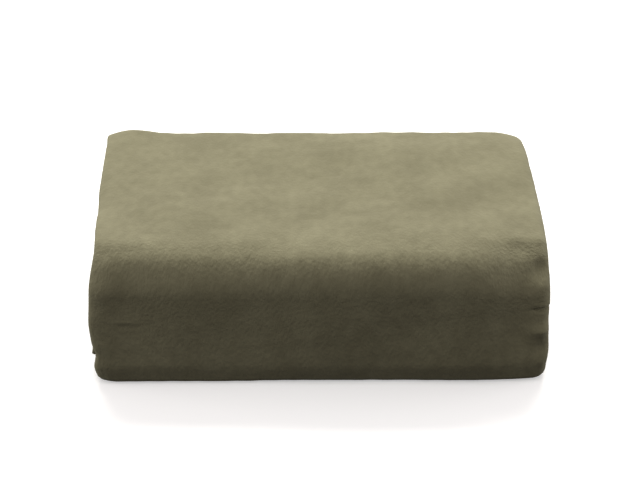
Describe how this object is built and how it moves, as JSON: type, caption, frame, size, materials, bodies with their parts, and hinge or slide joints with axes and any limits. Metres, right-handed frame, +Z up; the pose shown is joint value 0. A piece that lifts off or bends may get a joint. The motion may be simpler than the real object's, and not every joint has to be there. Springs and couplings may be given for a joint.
{
  "type": "folded camp blanket",
  "caption": "Wool camp blanket folded into a flat bundle, with one smooth fold across the front; it opens like a book along that fold.",
  "frame": {"origin": "on the resting surface, under the middle of the folded blanket", "axes": "+X along the front fold, +Y from the front fold to the rear folds, +Z up"},
  "size_m": [0.375, 0.2568, 0.1119],
  "materials": {
    "wool_cloth": "napped wool, matt",
    "edge_yarn": "plied wool yarn, matt"
  },
  "bodies": {
    "lower_half": {"lower_panel_1": "wool_cloth", "lower_panel_2": "wool_cloth", "lower_panel_3": "wool_cloth", "lower_panel_4": "wool_cloth", "lower_rear_fold_1": "wool_cloth", "lower_front_fold": "wool_cloth", "lower_rear_fold_2": "wool_cloth", "lower_end_stitching": "edge_yarn"},
    "spine": {"spine": "wool_cloth"},
    "upper_half": {"upper_panel_1": "wool_cloth", "upper_panel_2": "wool_cloth", "upper_panel_3": "wool_cloth", "upper_panel_4": "wool_cloth", "upper_rear_fold_1": "wool_cloth", "upper_front_fold": "wool_cloth", "upper_rear_fold_2": "wool_cloth", "upper_end_stitching": "edge_yarn"}
  },
  "joints": [
    {"name": "spine_lower_edge", "type": "hinge", "parent": "lower_half", "child": "spine", "pos_m": [0, -0.12147, 0.00695], "axis": [1, 0, 0], "range_deg": [0, 90]},
    {"name": "spine_upper_edge", "type": "hinge", "parent": "spine", "child": "upper_half", "pos_m": [0, -0.12147, 0.10495], "axis": [1, 0, 0], "range_deg": [0, 90]}
  ],
  "couplings": [
    {"joint": "spine_lower_edge", "follows": "spine_upper_edge", "ratio": 1}
  ]
}
